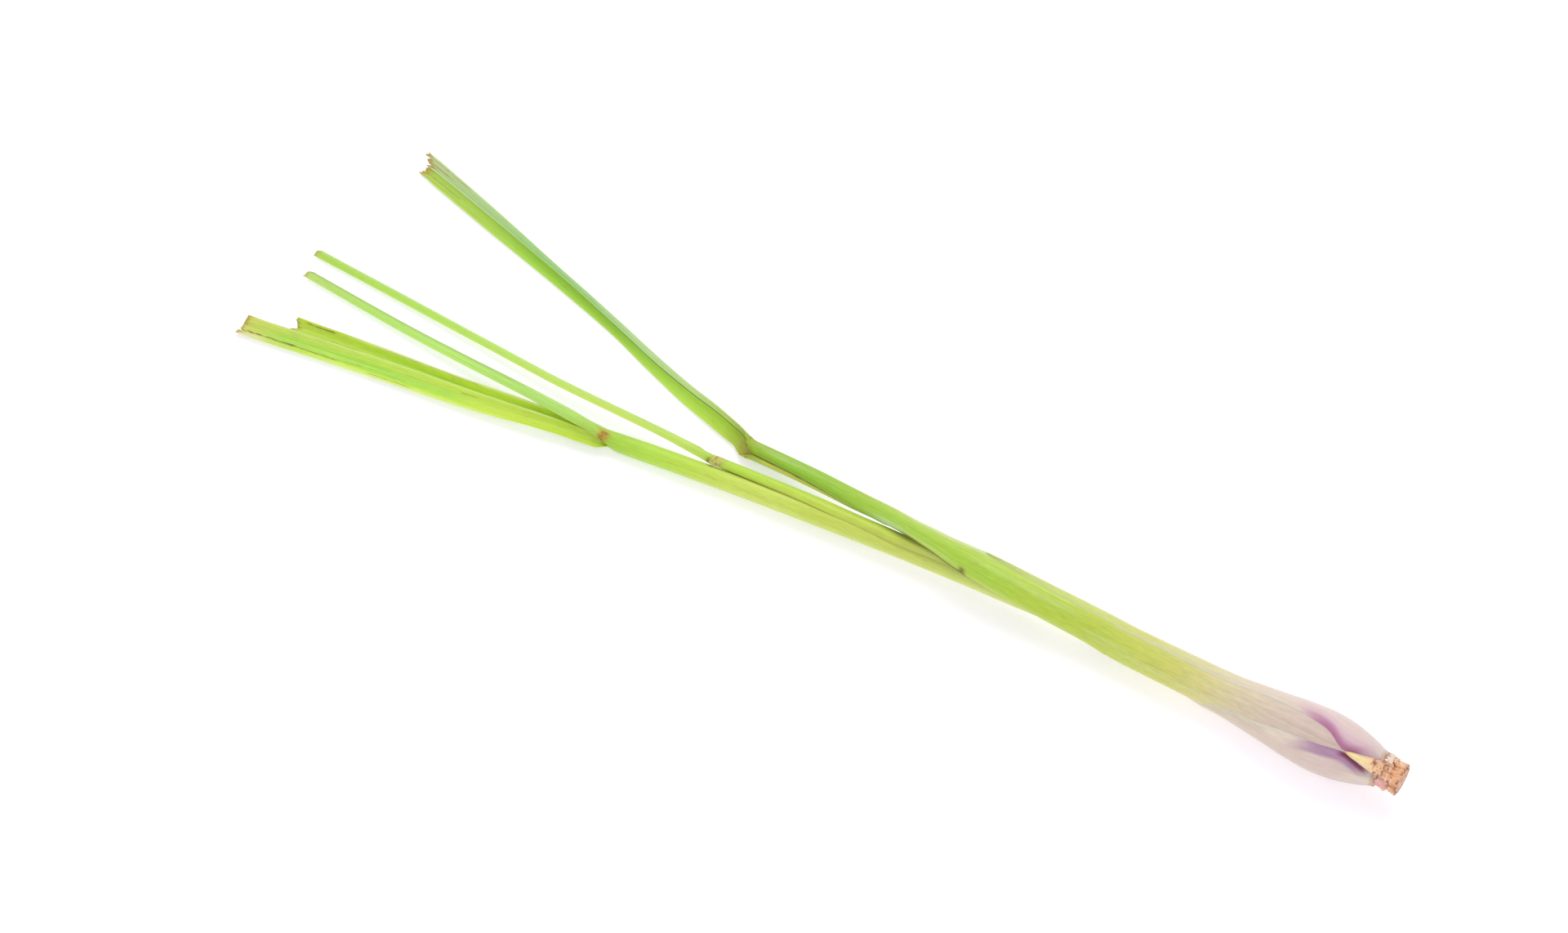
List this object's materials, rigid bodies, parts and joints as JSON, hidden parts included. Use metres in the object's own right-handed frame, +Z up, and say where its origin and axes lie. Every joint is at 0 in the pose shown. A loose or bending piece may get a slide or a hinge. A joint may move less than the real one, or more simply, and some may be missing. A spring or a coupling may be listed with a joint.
{
  "type": "lemongrass stalk",
  "caption": "Cut lemongrass stalk lying flat: a swollen pink-tinged bulb with its woody root stub, rolled green leaf sheaths and cropped, fanned leaf blades.",
  "frame": {"origin": "on the surface the stalk lies on, under the middle of its bounding box", "axes": "+X along the stalk towards the cut root end, +Z up, +Y towards the side where leaf_1 peels off"},
  "size_m": [0.3927, 0.0946, 0.0196],
  "materials": {
    "stem_wood": "rough cut woody stem, peach with brown fibres",
    "sheath_blush": "smooth waxy leaf sheath, beige and cream with magenta margins",
    "leaf_green": "satin fresh leaf, green with fine lengthwise veins",
    "blade_pale_green": "satin fresh leaf, pale bluish green with fine lengthwise veins",
    "blade_yellow_green": "satin fresh leaf, yellow-green with a greener midrib",
    "bud_yellow": "smooth yellow bud scale",
    "scale_pale": "dry papery scrap of an old leaf base"
  },
  "bodies": {
    "root": {"stem_base": "stem_wood", "outer_sheath": "sheath_blush", "leaf_1": "leaf_green", "leaf_2": "blade_pale_green", "leaf_3": "blade_pale_green", "leaf_4": "blade_yellow_green", "leaf_5": "blade_yellow_green", "tiller_bud": "bud_yellow", "neck_scale_upper": "scale_pale", "neck_scale_lower": "scale_pale"}
  },
  "joints": []
}
